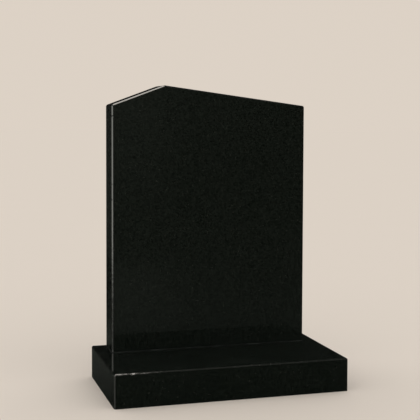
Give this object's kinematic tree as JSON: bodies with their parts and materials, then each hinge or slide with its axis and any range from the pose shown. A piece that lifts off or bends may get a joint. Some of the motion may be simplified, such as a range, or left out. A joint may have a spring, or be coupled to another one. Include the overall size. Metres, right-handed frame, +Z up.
{
  "type": "headstone",
  "caption": "Upright polished black granite headstone with an off-centre peak, bedded on a low rectangular base.",
  "frame": {"origin": "middle of the base's underside", "axes": "+Z up, -Y out of the headstone's polished front face, +X to the right as seen from the front"},
  "size_m": [0.61, 0.32, 0.7867],
  "materials": {
    "granite": "mirror-polished fine-grained black granite, with ground arrises and a sawn underside",
    "setting_compound": "matt dark grey setting compound, pointed by hand"
  },
  "bodies": {
    "root": {"base": "granite", "bedding_joint": "setting_compound", "headstone": "granite"}
  },
  "joints": []
}
